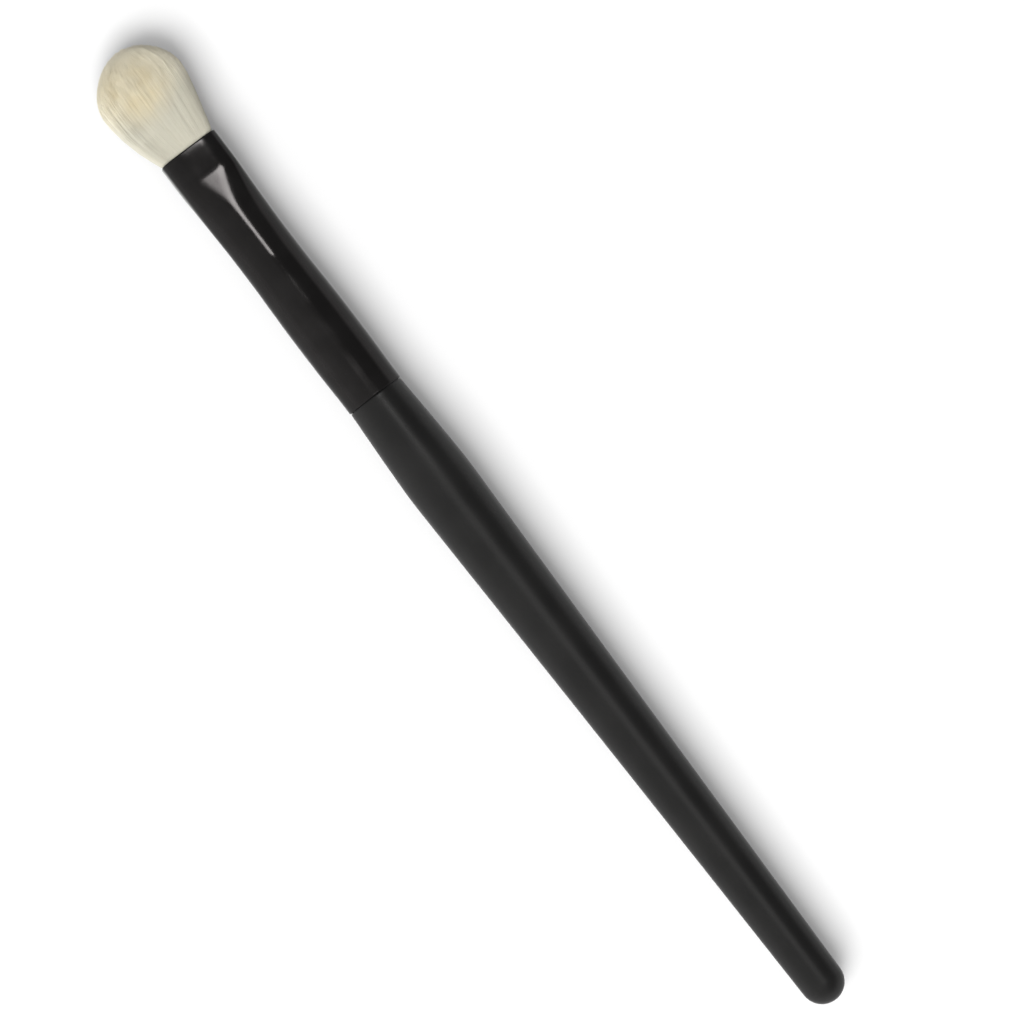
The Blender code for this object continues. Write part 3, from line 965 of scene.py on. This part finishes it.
view = {
    "lens": 200,
    "sensor": 36,
    "perPixel": 0.1432 * mm,
    "pixels": 1024,
    "turn": 52.665,               # degrees from the brush's length to the picture's bottom edge
    "roll": 5.7,                  # degrees that the camera looks past straight down
    "middle": (69.38 * mm, 5.48 * mm),   # seen in the middle of the picture, from the mouth
    "farthest": 60,               # metres, past the table's edge
}


def whiteTable():
    material, tree, _ = newMaterial("whiteTable")
    tree.nodes.clear()
    path = addNode(tree, "ShaderNodeLightPath").outputs
    seen = path["Is Camera Ray"]
    for key in ("Is Glossy Ray", "Is Transmission Ray"):
        seen = combine(tree, "MAXIMUM", seen, path[key])
    white = (*[studio["tableWhite"]] * 3, 1)
    matte = addNode(tree, "ShaderNodeBsdfDiffuse", {"Color": white}).outputs[0]
    unlit, lift = (
        addNode(tree, "ShaderNodeEmission", {"Strength": level}).outputs[0]
        for level in (0.0, studio["tableLift"])
    )
    lifted = addNode(tree, "ShaderNodeMixShader", {0: seen, 1: unlit, 2: lift}).outputs[0]
    both = addNode(tree, "ShaderNodeAddShader", {0: matte, 1: lifted}).outputs[0]
    below = addNode(tree, "ShaderNodeNewGeometry").outputs["Backfacing"]
    clear = addNode(tree, "ShaderNodeBsdfTransparent").outputs[0]   # as seen from below
    oneSided = addNode(tree, "ShaderNodeMixShader", {0: below, 1: both, 2: clear}).outputs[0]
    addNode(tree, "ShaderNodeOutputMaterial", {"Surface": oneSided})
    return material


def buildTable(material):
    reach = studio["tableReach"]
    corners = [(-reach, -reach, 0), (reach, -reach, 0), (reach, reach, 0), (-reach, reach, 0)]
    mesh = bpy.data.meshes.new("tableTop")
    mesh.from_pydata(corners, [], [(0, 1, 2, 3)])
    mesh.materials.append(material)
    table = bpy.data.objects.new("tableTop", mesh)
    bpy.context.scene.collection.objects.link(table)


def aimLamp(name, target, direction, distance, size, radiance, turn=0):
    # radiance is how bright the lamp's face looks, where 1 is white
    width, depth = size
    lamp = bpy.data.lights.new(name, "AREA")
    lamp.shape = "RECTANGLE"
    lamp.size, lamp.size_y = width, depth
    lamp.energy = radiance * 4 * width * depth
    holder = bpy.data.objects.new(name, lamp)
    bpy.context.scene.collection.objects.link(holder)
    back = Vector(direction).normalized()
    side = Vector((1, 0, 0))
    side = (side - back * side.dot(back)).normalized()   # its width lies along the brush
    facing = Matrix((side, back.cross(side), back)).transposed().to_4x4()
    facing = facing @ Matrix.Rotation(-math.radians(turn), 4, "Z")
    holder.matrix_world = Matrix.Translation(Vector(target) + back * distance) @ facing
    holder.visible_camera = False
    return holder


def hangLamps():
    s = studio
    size, distance = s["keySize"], s["keyDistance"]
    steep = Vector(s["keyDirection"]).normalized().z
    radiance = s["keyLevel"] * math.pi * distance ** 2 / (size ** 2 * steep)
    key = aimLamp("keySoftbox", (0, 0, 0), s["keyDirection"], distance, (size, size), radiance)
    key.visible_glossy = False
    for name in ("strip", "panel"):
        slope, roll = (math.radians(angle) for angle in s[name + "Angles"])
        overhead = (-math.tan(slope), math.tan(roll), 1)
        lamp = aimLamp(
            name + "Overhead", brushOrigin, overhead, s["overheadDistance"],
            s[name + "Size"], s[name + "Radiance"], s[name + "Turn"],
        )
        lamp.visible_diffuse = False


def paleSky():
    s = studio
    world = bpy.data.worlds.new("paleStudio")
    bpy.context.scene.world = world
    world.use_nodes = True
    tree = world.node_tree
    upwards = addNode(tree, "ShaderNodeTexCoord").outputs["Generated"]
    facing = addNode(tree, "ShaderNodeSeparateXYZ", {"Vector": upwards}).outputs
    sky = remap(tree, facing["Y"], s["skyEdge"], (s["skyDark"], s["skyBright"]))
    glow = remap(tree, facing["Y"], s["nearGlowEdge"], (0, s["nearGlow"]))
    horizon = remap(tree, facing["Z"], s["horizonEdge"])
    sockets = {0: horizon, 2: combine(tree, "ADD", sky, glow), 3: s["horizonLevel"]}
    level = addNode(tree, "ShaderNodeMix", sockets).outputs[0]
    feed(tree, tree.nodes["Background"], {"Color": (1, 1, 1, 1), "Strength": level})


def placeCamera():
    v = view
    camera = bpy.data.cameras.new("aboveCamera")
    camera.lens, camera.sensor_width = v["lens"], v["sensor"]
    camera.clip_end = v["farthest"]
    distance = v["perPixel"] * v["pixels"] * v["lens"] / v["sensor"]
    holder = bpy.data.objects.new("aboveCamera", camera)
    bpy.context.scene.collection.objects.link(holder)
    tilt = Matrix.Rotation(math.radians(v["roll"]), 4, "X")
    middle = Vector((mouthX + v["middle"][0], 0, axisHeight))
    across = tilt @ Vector((0, v["middle"][1], 0))
    back = tilt @ Vector((0, 0, distance))
    facing = tilt @ Matrix.Rotation(math.radians(v["turn"]), 4, "Z")
    holder.matrix_world = Matrix.Translation(middle + across + back) @ facing
    bpy.context.scene.camera = holder


buildFerrule(glossyFerruleLacquer())
buildHandle(matteHandleLacquer())
buildTuft(creamHair())
buildBinding(waxedThread())
buildResin(amberResin())
buildGlue(creamGlue())

buildTable(whiteTable())
hangLamps()
paleSky()
placeCamera()
bpy.context.scene.view_settings.view_transform = "Standard"
print("studio: table, three lamps, sky and camera in place")
